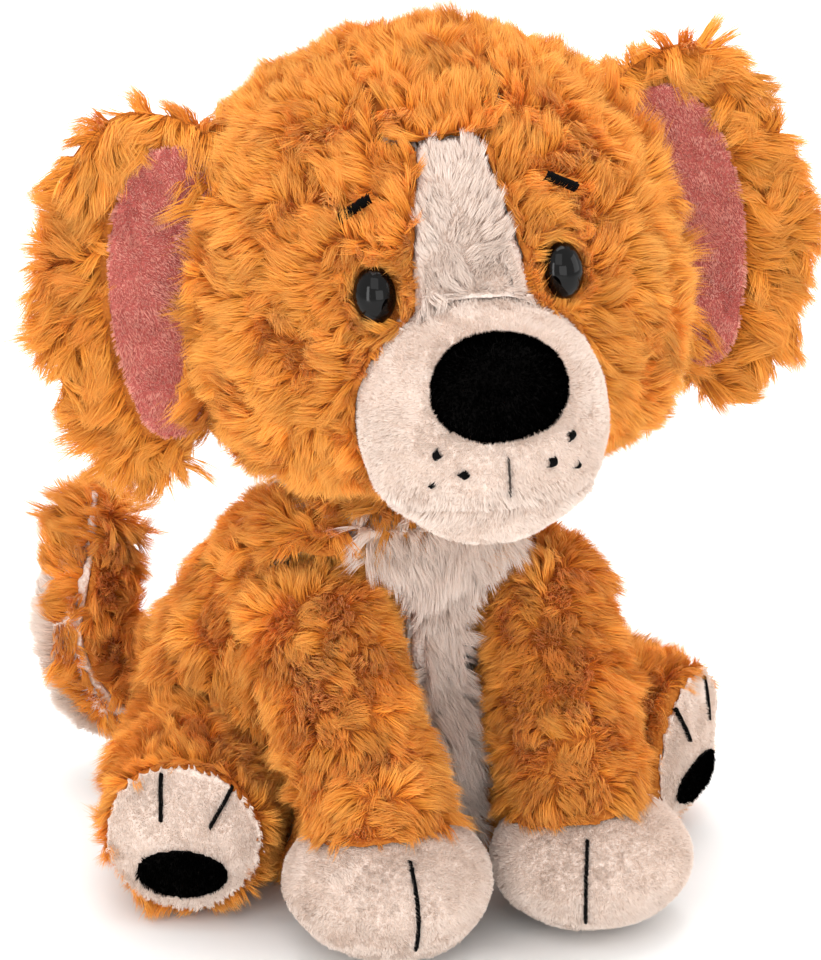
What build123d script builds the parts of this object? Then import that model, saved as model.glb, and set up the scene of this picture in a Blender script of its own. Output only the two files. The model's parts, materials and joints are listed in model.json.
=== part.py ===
from build123d import *
import os
from math import cos, radians, sin

# A seated plush dog in millimetres. +Z is up, the dog faces -Y and its own left is +X. The
# origin is the middle of the seat, on the surface that it sits on. A plush panel is as thick as
# its cloth and pile together, so the outside of a panel is where the tips of its pile lie.

# ---------------------------------------------------------------- driving dimensions
coat = 9.0  # long-pile plush, cloth and pile together
velour = 3.5  # short-pile plush, cloth and pile together
thread = 1.4  # how far embroidery stands out
seam = 0.2  # room between a cover and what it holds
joint_gap = 0.4  # room between two parts that turn on each other

torso_height = 138.0
torso_half_width = 79.0
torso_half_depth = 70.0
torso_lean = -6.0  # how far the top of the torso leans towards the dog's right
# shares of the height, the half width and the half depth, then how far back the oval lies
torso_sections = (
    (0.00, 0.69, 0.76, 0.0),
    (0.09, 0.89, 0.93, 2.0),
    (0.33, 1.00, 1.00, 4.0),
    (0.58, 0.95, 0.91, 0.0),
    (0.76, 0.82, 0.79, -12.0),
    (0.91, 0.70, 0.70, -26.0),
    (1.00, 0.56, 0.58, -36.0),
)
chest_half_top = 32.0
chest_half_bottom = 9.0
pellet_bag_radius = 21.0
pellet_bag_height = 24.0
pellet_bag_edge = 8.0
pellet_bag_back = 9.0
pellet_bag_lift = 2.0  # the stuffing under the bag

neck_radius = 28.0
neck_above = 6.0  # from the top of the torso up to the middle of the neck
neck_forward = 44.0

head_radius = 82.5
head_rise = 90.0  # from the widest place of the head up to its crown
head_drop = 58.0  # from the widest place down to the underside
head_widest = -14.0
crown_fullness = 2.3  # 2 is an ellipse, more is squarer
cheek_fullness = 2.7
head_yaw = -15.0
head_pitch = -4.0
head_roll = -5.0
neck_in_head = (-9.2, 20.0, -73.0)
gusset_half_width = 20.0
gusset_bottom = -45.0  # how far down the back of the head the strip runs
blaze_half_top = 9.0
blaze_half_bottom = 21.5
blaze_top = 49.0
blaze_bottom = -10.0

muzzle_radius = 38.0
muzzle_out = 72.0  # from the head's axis forward to the middle of the muzzle
muzzle_height = -35.0
chin_line = -20.0  # the chin panel starts here, counted from the middle of the muzzle
nose_radii = (21.0, 14.0, 17.3)
nose_out = 32.0  # in front of the middle of the muzzle
nose_up = 15.0  # above the middle of the muzzle
mouth_from = -4.0  # heights of the mouth line, counted from the middle of the muzzle
mouth_to = -17.0
mouth_width = 1.2
# azimuth and elevation on the muzzle, then the radius of the dot
whiskers = ((32, -2, 1.8), (21, -12, 1.8), (37, -17, 1.1))

eye_azimuth = 22.0
eye_elevation = 4.4
eye_half_width = 6.5
eye_half_height = 8.7
eye_dome = 5.5
eye_sunk = 5.0  # the back of the eye lies this deep in the pile
post_radius = 2.0
post_length = 9.0
post_room = 0.25
washer_radius = 7.0
washer_thickness = 1.5
washer_depth = 1.5  # under the inside of the panel
brow_azimuth = 25.0
brow_elevation = 23.5
brow_length = 11.0
brow_width = 3.5
brow_tilt = 32.0
brow_sunk = 3.0
brow_thickness = 2.0

# the ear's root is a straight seam beside the head, from its top to its bottom
ear_root_heights = (52.0, -45.0)
ear_root_stand = (5.5, 7.0)  # how far outside the head's outline the two ends lie
ear_root_radius = 5.5
ear_thickness = 8.0
# along the root from its top, and out from it
ear_outline = ((4, 34), (29, 45), (58, 47), (83, 41), (105, 27), (116, 10))
lining_outline = ((12, 8), (15, 24), (32, 31), (58, 31), (80, 25), (96, 14), (92, 8))
ear_notch = 13.5  # half the width of the cut in the head that the root lies in

leg_radius = 27.5
leg_swing_limit = 40.0
shoulder_height = 97.0
ankle_height = 46.0
toe_line_width = 2.2
toe_line_low = 0.55  # shares of the paw's height and length that the line runs between
toe_line_front = 0.70
# of each front leg: the shoulder, the ankle and the middle of the paw in plan, then the paw's
# radii and how far it turns
front_legs = {
    "right": ((-41, -53), (-36, -83), (-35.5, -89), (33.5, 36.0, 24.0), -9.0),
    "left": ((36, -52), (31, -89), (33.5, -97), (33.0, 34.0, 22.5), -30.0),
}

hip_out = 58.0
hip_back = 4.0
hip_radius = 35.0
foot_radius = 31.0
foot_rim = 4.0
feet = {"right": (-89.0, -47.0), "left": (98.0, -45.0)}
sole_radius = 27.5
sole_crown = 5.0
pad_half_width = 15.3
pad_half_height = 9.3
pad_below = 11.0
# the middle of a toe line on the sole, outwards and up, then its length and its lean
sole_lines = ((6.5, 16.0, 16.0, 0.0), (-13.5, 13.0, 16.0, 28.0))
leg_splay_limit = 20.0

tail_root = (-18.0, 66.0)
tail_stand = (-71.0, 90.0)  # where the upright end of the tail stands, in plan
tail_height = 94.0  # of its last full section
tail_clear = 2.0  # above the surface that the dog sits on
tail_bend = 38.0
tail_lean = 6.0  # how far the tip leans back over the bend
tail_radius = 21.0
# shares of the tail's line and of its radius
tail_sections = ((0.0, 1.0), (0.2, 1.02), (0.4, 1.05), (0.6, 1.03), (0.8, 0.94), (1.0, 0.76))
tail_balls = ((0.0, 1.10), (1.0, 0.80))

far = 500.0  # well past every piece
settling_rounds = 20  # enough to find where a slanting line meets the head
side_of = {"right": -1, "left": 1}

os.makedirs("parts", exist_ok=True)


# ---------------------------------------------------------------- shapes that repeat
def save(piece, name, place=None):
    """Writes one finished piece, moved to its place if it has one."""
    if place is not None:
        piece = piece.moved(place)
    piece.label = name
    export_step(piece, f"parts/{name}.step")


def carve(body, *rooms):
    """The body without the room that its neighbours need."""
    with BuildPart() as carved:
        add(body)
        for room in rooms:
            add(room, mode=Mode.SUBTRACT)
    return carved.part


def ball(centre, radius):
    with BuildPart(Plane(origin=centre)) as form:
        Sphere(radius)
    return form.part


def egg(centre, radii, grow=0.0, yaw=0.0):
    """An ellipsoid, turned about the vertical."""
    with BuildPart() as form:
        Sphere(1.0)
        scale(by=tuple(radius + grow for radius in radii))
    return form.part.moved(Location(centre, (0, 0, yaw)))


def limb(start, end, start_radius, end_radius, rim=None):
    """A tapered limb that starts in a ball and ends in one too, or in a disc with a round rim."""
    start = Vector(*start)
    along = Vector(*end) - start
    length = along.length
    across = along.cross(Vector(0, 0, 1))
    profile = Plane(origin=start, x_dir=across, z_dir=across.cross(along))
    with BuildPart() as form:
        with BuildSketch(profile):
            with BuildLine():
                CenterArc((0, 0), start_radius, -90, 90)
                if rim is None:
                    tip = length + end_radius
                    Line((start_radius, 0), (end_radius, length))
                    CenterArc((0, length), end_radius, 0, 90)
                else:
                    tip = length
                    Line((start_radius, 0), (end_radius, length - rim))
                    CenterArc((end_radius - rim, length - rim), rim, 0, 90)
                    Line((end_radius - rim, length), (0, length))
                Line((0, tip), (0, -start_radius))
            make_face()
        revolve(axis=Axis(start, along))
    return form.part


def slab(plane, outline, depth, both=False):
    """A prism over a straight-sided outline."""
    with BuildPart() as form:
        with BuildSketch(plane):
            with BuildLine():
                Polyline(*outline, close=True)
            make_face()
        extrude(amount=depth, both=both)
    return form.part


def swept_room(pivot, axis, towards, half_width, angle):
    """The room that a limb of this half width sweeps as it turns from where it points."""
    pivot, axis, towards = Vector(*pivot), Vector(*axis), Vector(*towards)
    with BuildPart() as form:
        with BuildSketch(Plane(origin=pivot, x_dir=towards, z_dir=towards.cross(axis))):
            with Locations((towards.length / 2, 0)):
                Rectangle(towards.length, 2 * half_width)
        revolve(axis=Axis(pivot, axis), revolution_arc=angle)
    return form.part


# ---------------------------------------------------------------- where the limbs hang
swing_axis = (-1, 0, 0)
torso_rooms = []
shoulders = {}
for name, (shoulder, ankle, paw, paw_radii, paw_yaw) in front_legs.items():
    shoulder = (*shoulder, shoulder_height)
    ankle = (*ankle, ankle_height)
    shoulders[name] = (shoulder, ankle)
    leg_room = limb(shoulder, ankle, leg_radius + joint_gap, leg_radius + joint_gap)
    down = (0, ankle[1] - shoulder[1], ankle[2] - shoulder[2])
    torso_rooms += [
        leg_room,
        leg_room.rotate(Axis(shoulder, swing_axis), leg_swing_limit / 2),
        leg_room.rotate(Axis(shoulder, swing_axis), leg_swing_limit),
        swept_room(shoulder, swing_axis, down, leg_radius + joint_gap, leg_swing_limit),
        egg((*paw, paw_radii[2]), paw_radii, joint_gap, paw_yaw),
    ]

hips = {}
for name, side in side_of.items():
    hip = (side * hip_out, hip_back, hip_radius)
    foot = (*feet[name], foot_radius + joint_gap)
    hips[name] = (hip, foot)
    leg_room = limb(hip, foot, hip_radius + joint_gap, foot_radius + joint_gap, foot_rim)
    ahead = (foot[0] - hip[0], foot[1] - hip[1], 0)
    splay_axis = (0, 0, side)
    torso_rooms += [
        leg_room,
        leg_room.rotate(Axis(hip, splay_axis), leg_splay_limit),
        swept_room(hip, splay_axis, ahead, hip_radius + joint_gap, leg_splay_limit),
    ]

# ---------------------------------------------------------------- tail
tail_thickest = tail_radius * max(width for _, width in tail_sections)
tail_start = Vector(*tail_root, tail_thickest + tail_clear)
tail_ahead = Vector(tail_stand[0] - tail_root[0], tail_stand[1] - tail_root[1], 0)
tail_reach = tail_ahead.length
tail_plane = Plane(origin=tail_start, x_dir=tail_ahead, z_dir=tail_ahead.cross(Vector(0, 0, 1)))
bend_start = (tail_reach - tail_bend, 0)
bend_end = (tail_reach, tail_bend)
tail_end = (tail_reach - tail_lean, tail_height - tail_start.Z)

bend_centre = (bend_start[0], tail_bend)
with BuildLine(tail_plane) as tail_line:
    Line((0, 0), bend_start)
    CenterArc(bend_centre, tail_bend, -90, 90)
    Line(bend_end, tail_end)
tail_path = tail_line.wire()


def tail_form(inset):
    """The tail, skinned over round sections along its line, with a ball at each end."""
    with BuildPart() as form:
        for share, width in tail_sections:
            section = Plane(
                origin=tail_path @ share, x_dir=tail_plane.z_dir, z_dir=tail_path % share
            )
            with BuildSketch(section):
                Circle(width * tail_radius - inset)
        loft()
        for share, width in tail_balls:
            with Locations(tail_path @ share):
                Sphere(width * tail_radius - inset)
    return form.part


with BuildPart() as tail_top_room:
    with BuildSketch(tail_plane):
        with BuildLine():
            Line((-far, 0), bend_start)
            CenterArc(bend_centre, tail_bend, -90, 90)
            Line(bend_end, tail_end)
            Polyline(tail_end, (tail_end[0], far), (-far, far), (-far, 0))
        make_face()
    extrude(amount=far, both=True)

tail_coat = carve(tail_form(0), tail_form(coat))
for name, mode in (("tail_top", Mode.INTERSECT), ("tail_underside", Mode.SUBTRACT)):
    with BuildPart() as tail_half:
        add(tail_coat)
        add(tail_top_room.part, mode=mode)
    save(tail_half.part, name)
save(tail_form(coat + seam), "tail_stuffing")

# ---------------------------------------------------------------- neck
neck_centre = Vector(torso_lean, -neck_forward, torso_height + neck_above)
with BuildPart(Plane(origin=neck_centre)) as neck_cover:
    Sphere(neck_radius)
    Sphere(neck_radius - velour, mode=Mode.SUBTRACT)
save(neck_cover.part, "neck_cover")
save(ball(neck_centre, neck_radius - velour - seam), "neck_stuffing")

torso_rooms += [tail_form(-joint_gap), ball(neck_centre, neck_radius + joint_gap)]


# ---------------------------------------------------------------- torso
def torso_form(inset):
    """The torso, skinned over oval sections from the seat to the neck."""
    with BuildPart() as form:
        for share, wide, deep, back in torso_sections:
            height = inset + share * (torso_height - 2 * inset)
            with BuildSketch(Plane.XY.offset(height)):
                with Locations((share * torso_lean, back)):
                    Ellipse(wide * torso_half_width - inset, deep * torso_half_depth - inset)
        loft()
    return form.part


everywhere = [(-far, -far), (far, -far), (far, far), (-far, far)]
seat_room = slab(Plane.XY, everywhere, coat)
right_room = slab(Plane.YZ, everywhere, -far)
chest_room = slab(
    Plane.XZ,
    [
        (torso_lean - chest_half_top, torso_height),
        (-chest_half_bottom, 0),
        (chest_half_bottom, 0),
        (torso_lean + chest_half_top, torso_height),
    ],
    far,
)
torso_coat = carve(torso_form(0), torso_form(coat), *torso_rooms)

with BuildPart() as seat_panel:
    add(torso_coat)
    add(seat_room, mode=Mode.INTERSECT)
save(seat_panel.part, "seat_panel")

with BuildPart() as chest_panel:
    add(carve(torso_coat, seat_room))
    add(chest_room, mode=Mode.INTERSECT)
save(chest_panel.part, "chest_panel")

for name, mode in (("right", Mode.INTERSECT), ("left", Mode.SUBTRACT)):
    with BuildPart() as torso_side:
        add(carve(torso_coat, seat_room, chest_room))
        add(right_room, mode=mode)
    save(torso_side.part, f"torso_{name}_side")

pellet_plane = Plane(origin=(0, pellet_bag_back, coat + pellet_bag_lift + pellet_bag_height / 2))


def pouch(grow):
    """The pellet bag, a flat pouch with round edges."""
    with BuildPart(pellet_plane) as form:
        Cylinder(pellet_bag_radius + grow, pellet_bag_height + 2 * grow)
        fillet(form.edges().filter_by(GeomType.CIRCLE), pellet_bag_edge)
    return form.part


save(pouch(0), "pellet_bag")
save(carve(torso_form(coat + seam), pouch(seam), *torso_rooms), "torso_stuffing")

# ---------------------------------------------------------------- front legs
for name, (shoulder, ankle, paw, paw_radii, paw_yaw) in front_legs.items():
    shoulder, ankle = shoulders[name]
    paw_centre = (*paw, paw_radii[2])
    inside = leg_radius - coat
    leg_inside = limb(shoulder, ankle, inside, inside)
    with BuildPart() as leg_sleeve:
        add(limb(shoulder, ankle, leg_radius, leg_radius))
        add(leg_inside, mode=Mode.SUBTRACT)
        add(egg(paw_centre, paw_radii, seam, paw_yaw), mode=Mode.SUBTRACT)
    save(leg_sleeve.part, f"{name}_leg_sleeve")

    with BuildPart() as paw_cover:
        add(egg(paw_centre, paw_radii, 0, paw_yaw))
        add(egg(paw_centre, paw_radii, -velour, paw_yaw), mode=Mode.SUBTRACT)
        add(leg_inside, mode=Mode.SUBTRACT)
    save(paw_cover.part, f"{name}_paw")

    with BuildPart() as leg_stuffing:
        add(limb(shoulder, ankle, inside - seam, inside - seam))
        add(egg(paw_centre, paw_radii, -velour - seam, paw_yaw))
    save(leg_stuffing.part, f"{name}_leg_stuffing")

    toe_low = -toe_line_low * paw_radii[2]
    toe_back = -toe_line_front * paw_radii[1]
    toe_front = slab(
        Plane.YZ,
        [(0, toe_low), (-far, toe_low), (-far, far), (toe_back, far), (toe_back, 0)],
        toe_line_width / 2,
        both=True,
    ).moved(Location(paw_centre, (0, 0, paw_yaw)))
    with BuildPart() as toe_line:
        add(egg(paw_centre, paw_radii, thread, paw_yaw))
        add(egg(paw_centre, paw_radii, seam / 2, paw_yaw), mode=Mode.SUBTRACT)
        add(toe_front, mode=Mode.INTERSECT)
    save(toe_line.part, f"{name}_paw_toe_line")

# ---------------------------------------------------------------- hind legs
crown_radius = (sole_radius**2 + sole_crown**2) / (2 * sole_crown)
for name, (hip, foot) in hips.items():
    side = side_of[name]
    inside_hip, inside_foot = hip_radius - coat, foot_radius - coat
    with BuildPart() as thigh:
        add(limb(hip, foot, hip_radius, foot_radius, foot_rim))
        add(limb(hip, foot, inside_hip, inside_foot, seam), mode=Mode.SUBTRACT)
    save(thigh.part, f"{name}_thigh")
    save(limb(hip, foot, inside_hip - seam, inside_foot - seam, seam), f"{name}_hind_leg_stuffing")

    outwards = Vector(*foot) - Vector(*hip)
    across = Vector(-outwards.Y, outwards.X, 0)
    sole_plane = Plane(origin=foot, x_dir=across, z_dir=outwards).offset(seam)
    crown_centre = (0, 0, sole_crown - crown_radius)
    with BuildPart(sole_plane) as sole:
        Cylinder(sole_radius, sole_crown, align=(Align.CENTER, Align.CENTER, Align.MIN))
        with Locations(crown_centre):
            Sphere(crown_radius, mode=Mode.INTERSECT)
    save(sole.part, f"{name}_sole")

    with BuildPart(sole_plane) as stitched_skin:
        Cylinder(sole_radius, 2 * sole_crown, align=(Align.CENTER, Align.CENTER, Align.MIN))
        with Locations(crown_centre):
            Sphere(crown_radius + thread, mode=Mode.INTERSECT)
            Sphere(crown_radius + seam / 2, mode=Mode.SUBTRACT)

    with BuildPart() as pad:
        with BuildSketch(sole_plane):
            with Locations((0, -pad_below)):
                Ellipse(pad_half_width, pad_half_height)
        extrude(amount=far)
        add(stitched_skin.part, mode=Mode.INTERSECT)
    save(pad.part, f"{name}_sole_pad")

    with BuildPart() as toe_lines:
        with BuildSketch(sole_plane):
            for out, up, length, lean in sole_lines:
                with Locations((side * out, up)):
                    SlotOverall(length, toe_line_width, rotation=90 + side * lean)
        extrude(amount=far)
        add(stitched_skin.part, mode=Mode.INTERSECT)
    save(toe_lines.part, f"{name}_sole_toe_lines")


# ---------------------------------------------------------------- head, in its own frame
def turned(vector):
    """A direction of the head's own frame as it lies in the dog's frame."""
    rolled = Vector(*vector).rotate(Axis.Y, head_roll)
    return rolled.rotate(Axis.X, head_pitch).rotate(Axis.Z, head_yaw)


head_centre = neck_centre - turned(neck_in_head)
head_place = Plane(origin=head_centre, x_dir=turned((1, 0, 0)), z_dir=turned((0, 0, 1))).location


def head_form(inset):
    """The head, turned about its own upright axis."""
    across, rise, drop = head_radius - inset, head_rise - inset, head_drop - inset
    outline = []
    for angle in (90, 78, 62, 45, 28, 12):
        share = 2 / cheek_fullness
        reach = across * cos(radians(angle)) ** share
        outline.append((reach, head_widest - drop * sin(radians(angle)) ** share))
    for angle in (0, 15, 32, 50, 66, 80, 90):
        share = 2 / crown_fullness
        reach = across * cos(radians(angle)) ** share
        outline.append((reach, head_widest + rise * sin(radians(angle)) ** share))
    outline[0] = (0, head_widest - drop)
    outline[-1] = (0, head_widest + rise)
    with BuildPart() as form:
        with BuildSketch(Plane.XZ):
            with BuildLine():
                Spline(*outline, tangents=((1, 0), (-1, 0)))
                Line(outline[-1], outline[0])
            make_face()
        revolve(axis=Axis.Z)
    return form.part


def head_reach(height):
    """How far the head reaches out from its axis at a height."""
    if height >= head_widest:
        share, fullness = (height - head_widest) / head_rise, crown_fullness
    else:
        share, fullness = (head_widest - height) / head_drop, cheek_fullness
    return head_radius * (1 - share**fullness) ** (1 / fullness)


def facing(centre, azimuth, elevation, distance):
    """A plane that faces outwards from a centre, with its own y upwards."""
    turn, lift = radians(azimuth), radians(elevation)
    outwards = Vector(sin(turn) * cos(lift), -cos(turn) * cos(lift), sin(lift))
    x_dir = (cos(turn), sin(turn), 0)
    return Plane(origin=Vector(*centre) + outwards * distance, x_dir=x_dir, z_dir=outwards)


def on_head(azimuth, elevation, depth):
    """A plane that faces outwards, this deep in the pile of the head."""
    distance = head_radius
    for _ in range(settling_rounds):
        distance = head_reach(distance * sin(radians(elevation))) / cos(radians(elevation))
    return facing((0, 0, 0), azimuth, elevation, distance - depth)


muzzle_centre = (0, -muzzle_out, muzzle_height)
muzzle_room = ball(muzzle_centre, muzzle_radius + seam)
neck_room = ball(neck_in_head, neck_radius + joint_gap)

coat_rooms = [muzzle_room, neck_room]
stuffing_rooms = [neck_room]
base = (Align.CENTER, Align.CENTER, Align.MIN)
head_pieces = {}

for name, side in side_of.items():
    eye_plane = on_head(side * eye_azimuth, eye_elevation, eye_sunk)
    with BuildPart() as eye:
        Sphere(1.0)
        split(bisect_by=Plane.XY)
        scale(by=(eye_half_width, eye_half_height, eye_dome))
        Cylinder(post_radius, post_length, align=(Align.CENTER, Align.CENTER, Align.MAX))
    head_pieces[f"{name}_eye"] = eye.part.moved(eye_plane.location)

    with BuildPart() as eye_pocket:
        with BuildSketch(eye_plane.offset(-seam)):
            Ellipse(eye_half_width + 2 * seam, eye_half_height + 2 * seam)
        extrude(amount=2 * eye_sunk)
    with BuildPart(eye_plane.offset(-2 * coat)) as post_hole:
        Cylinder(post_radius + post_room, 2 * coat, align=base)

    washer_plane = eye_plane.offset(eye_sunk - coat - washer_depth - washer_thickness)
    with BuildPart(washer_plane) as washer:
        Cylinder(washer_radius, washer_thickness, align=base)
        Cylinder(post_radius + post_room, washer_thickness, align=base, mode=Mode.SUBTRACT)
    head_pieces[f"{name}_eye_washer"] = washer.part
    with BuildPart(washer_plane.offset(-seam)) as washer_room:
        Cylinder(washer_radius + seam, coat, align=base)

    brow_plane = on_head(side * brow_azimuth, brow_elevation, brow_sunk)
    with BuildPart() as brow:
        with BuildSketch(brow_plane):
            SlotOverall(brow_length, brow_width, rotation=-side * brow_tilt)
        extrude(amount=brow_thickness)
    head_pieces[f"{name}_brow"] = brow.part
    with BuildPart() as brow_pocket:
        with BuildSketch(brow_plane.offset(-seam)):
            SlotOverall(brow_length + 2 * seam, brow_width + 2 * seam, rotation=-side * brow_tilt)
        extrude(amount=2 * coat)

    root_top = Vector(side * (head_reach(ear_root_heights[0]) + ear_root_stand[0]), 0,
                      ear_root_heights[0])
    root_bottom = Vector(side * (head_reach(ear_root_heights[1]) + ear_root_stand[1]), 0,
                         ear_root_heights[1])
    root_length = (root_bottom - root_top).length
    ear_plane = Plane(origin=root_top, x_dir=root_bottom - root_top, z_dir=(0, -side, 0))
    with BuildPart() as ear_back:
        with BuildSketch(ear_plane):
            with BuildLine():
                Spline((0, 0), *ear_outline, (root_length, 0))
                Line((root_length, 0), (0, 0))
            make_face()
        extrude(amount=ear_thickness, dir=(0, 1, 0))
        with BuildSketch(Plane(origin=root_top, z_dir=root_bottom - root_top)):
            Circle(ear_root_radius)
        extrude(amount=root_length)
    head_pieces[f"{name}_ear_back"] = ear_back.part
    with BuildPart() as ear_lining:
        with BuildSketch(ear_plane.offset(side * seam)):
            with BuildLine():
                Spline(*lining_outline)
                Line(lining_outline[-1], lining_outline[0])
            make_face()
        extrude(amount=velour, dir=(0, -1, 0))
    head_pieces[f"{name}_ear_lining"] = ear_lining.part
    floor = -ear_root_radius - joint_gap
    ear_room = slab(
        ear_plane,
        [(-far, floor), (far, floor), (far, far), (-far, far)],
        ear_notch,
        both=True,
    )
    coat_rooms += [eye_pocket.part, post_hole.part, brow_pocket.part, ear_room]
    stuffing_rooms += [post_hole.part, washer_room.part, ear_room]

head_inside = head_form(coat)
head_coat = carve(head_form(0), head_inside, *coat_rooms)
blaze_room = slab(
    Plane.XZ,
    [
        (-blaze_half_top, blaze_top),
        (-blaze_half_bottom, blaze_bottom),
        (-blaze_half_bottom, muzzle_height),
        (blaze_half_bottom, muzzle_height),
        (blaze_half_bottom, blaze_bottom),
        (blaze_half_top, blaze_top),
    ],
    far,
)
gusset_room = slab(
    Plane.XY.offset(gusset_bottom),
    [(-gusset_half_width, 0), (gusset_half_width, 0), (gusset_half_width, far),
     (-gusset_half_width, far)],
    far,
)
crown_room = slab(
    Plane.XY.offset(blaze_top),
    [(-gusset_half_width, -far), (gusset_half_width, -far), (gusset_half_width, 0),
     (-gusset_half_width, 0)],
    far,
)

with BuildPart() as blaze:
    add(head_coat)
    add(blaze_room, mode=Mode.INTERSECT)
head_pieces["forehead_blaze"] = blaze.part

with BuildPart() as gusset_strip:
    add(gusset_room)
    add(crown_room)
with BuildPart() as gusset:
    add(head_coat)
    add(gusset_strip.part, mode=Mode.INTERSECT)
head_pieces["head_gusset"] = gusset.part

for name, mode in (("right", Mode.INTERSECT), ("left", Mode.SUBTRACT)):
    with BuildPart() as head_side:
        add(carve(head_coat, blaze_room, gusset_strip.part))
        add(right_room, mode=mode)
    head_pieces[f"head_{name}_side"] = head_side.part

head_pieces["head_stuffing"] = carve(head_form(coat + seam), *stuffing_rooms)

# ---------------------------------------------------------------- muzzle, nose and mouth
chin_room = slab(Plane.XY.offset(muzzle_height + chin_line), everywhere, -far)
muzzle_cover = carve(
    ball(muzzle_centre, muzzle_radius),
    ball(muzzle_centre, muzzle_radius - velour),
    head_inside,
    neck_room,
)
for name, mode in (("chin", Mode.INTERSECT), ("muzzle", Mode.SUBTRACT)):
    with BuildPart() as cover:
        add(muzzle_cover)
        add(chin_room, mode=mode)
    head_pieces[name] = cover.part
head_pieces["muzzle_stuffing"] = carve(
    ball(muzzle_centre, muzzle_radius - velour - seam), head_inside, neck_room
)

nose_centre = (0, -muzzle_out - nose_out, muzzle_height + nose_up)
head_pieces["nose"] = carve(
    egg(nose_centre, nose_radii), egg(nose_centre, nose_radii, -velour), muzzle_room
)
head_pieces["nose_stuffing"] = carve(egg(nose_centre, nose_radii, -velour - seam), muzzle_room)

with BuildPart() as mouth:
    add(ball(muzzle_centre, muzzle_radius + thread))
    add(ball(muzzle_centre, muzzle_radius + seam / 2), mode=Mode.SUBTRACT)
    add(
        slab(
            Plane.YZ,
            [
                (-muzzle_out, muzzle_height + mouth_from),
                (-far, muzzle_height + mouth_from),
                (-far, muzzle_height + mouth_to),
                (-muzzle_out, muzzle_height + mouth_to),
            ],
            mouth_width / 2,
            both=True,
        ),
        mode=Mode.INTERSECT,
    )
head_pieces["mouth_stitch"] = mouth.part

with BuildPart() as whisker_dots:
    for side in side_of.values():
        for azimuth, elevation, radius in whiskers:
            spot = facing(muzzle_centre, side * azimuth, elevation, muzzle_radius + seam / 2)
            with BuildSketch(spot):
                Circle(radius)
    extrude(amount=thread)
head_pieces["whisker_dots"] = whisker_dots.part

for name, piece in head_pieces.items():
    save(piece, name, head_place)
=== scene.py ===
import json
from math import atan2, ceil, cos, pi, radians, sin, sqrt

import bpy
import numpy as np
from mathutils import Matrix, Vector
from mathutils.bvhtree import BVHTree
from mathutils.kdtree import KDTree

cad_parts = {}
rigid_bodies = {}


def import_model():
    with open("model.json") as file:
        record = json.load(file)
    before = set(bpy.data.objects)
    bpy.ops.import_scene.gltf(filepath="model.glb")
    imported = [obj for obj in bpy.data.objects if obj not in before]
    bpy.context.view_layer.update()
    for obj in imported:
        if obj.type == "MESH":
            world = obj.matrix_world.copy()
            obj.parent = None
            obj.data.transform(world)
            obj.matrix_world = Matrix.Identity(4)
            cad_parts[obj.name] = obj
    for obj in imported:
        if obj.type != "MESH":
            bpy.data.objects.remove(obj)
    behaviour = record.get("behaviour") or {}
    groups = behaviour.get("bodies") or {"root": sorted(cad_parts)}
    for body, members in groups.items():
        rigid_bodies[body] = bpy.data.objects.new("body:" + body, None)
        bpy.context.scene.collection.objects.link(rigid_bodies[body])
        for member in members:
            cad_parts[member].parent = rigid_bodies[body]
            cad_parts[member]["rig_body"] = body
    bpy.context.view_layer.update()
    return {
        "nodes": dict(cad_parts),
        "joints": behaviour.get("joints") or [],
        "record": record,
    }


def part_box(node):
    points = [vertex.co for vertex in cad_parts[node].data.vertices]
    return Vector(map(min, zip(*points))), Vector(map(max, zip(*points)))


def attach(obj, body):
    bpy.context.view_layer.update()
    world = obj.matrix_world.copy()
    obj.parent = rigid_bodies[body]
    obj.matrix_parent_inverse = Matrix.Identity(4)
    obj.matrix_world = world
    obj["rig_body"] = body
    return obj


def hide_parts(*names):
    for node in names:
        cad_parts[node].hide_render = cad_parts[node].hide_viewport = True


# A seated plush dog. Shapes are worked out in millimetres and written in metres. +Z is up, the
# dog faces -Y and its own left is +X, as in the CAD.

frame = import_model()
nodes = frame["nodes"]
body_of = {name: nodes[name]["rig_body"] for name in nodes}
slot_of = {row["node"]: row["material_slot"] for row in frame["record"]["subparts"]}

MM = 0.001
MOST_FACES = 190_000  # of one piece, so that its exported mesh isn't thinned out
SIDES = ("right", "left")
DOWN = np.array((0.0, 0.0, -1.0))

# ---------------------------------------------------------------- sizes, in millimetres
LONG_PILE = 7.5  # how far the cloth of the long plush lies under the tips of its pile
BLAZE_PILE = 4.0
CHEST_PILE = 4.5
SHORT_PILE = 1.1
EAR_PILE = 3.0  # the pile lies flat on the ears
FLOOR_GAP = 0.25
SEAM_REACH = 6.0  # how far from a seam the cloth is pulled in
LUMP_SIZE = 42.0  # of the stuffing under the cloth
LEAST_WALL = 1.5  # a panel's outer face stands at least this far off its stuffing
LINING_WALL = 1.2  # of the cloth in an ear's lining, and between it and the ear's back
EAR_WIDTH, EAR_FALL = 47.0, 100.0
EAR_ROLL, EAR_SWING = 7.0, 3.0  # how far the rim rolls forward, and the whole ear backward
EAR_CLOSED, EAR_CLOSED_OVER = 6.0, 18.0  # how far the inner edge closes up, over this width
LINING_INWARDS = 9.5  # how far the lining moves towards the head
PAW_TOP = 44.0  # the sleeve's pile hangs over the paw below this height
CHEST_LOW = 55.0  # the legs lie against the chest above this height
TAIL_SWEPT, TAIL_TIP_SWEPT = 14.0, 26.0  # how far the ginger reaches over the pale underside

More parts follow.
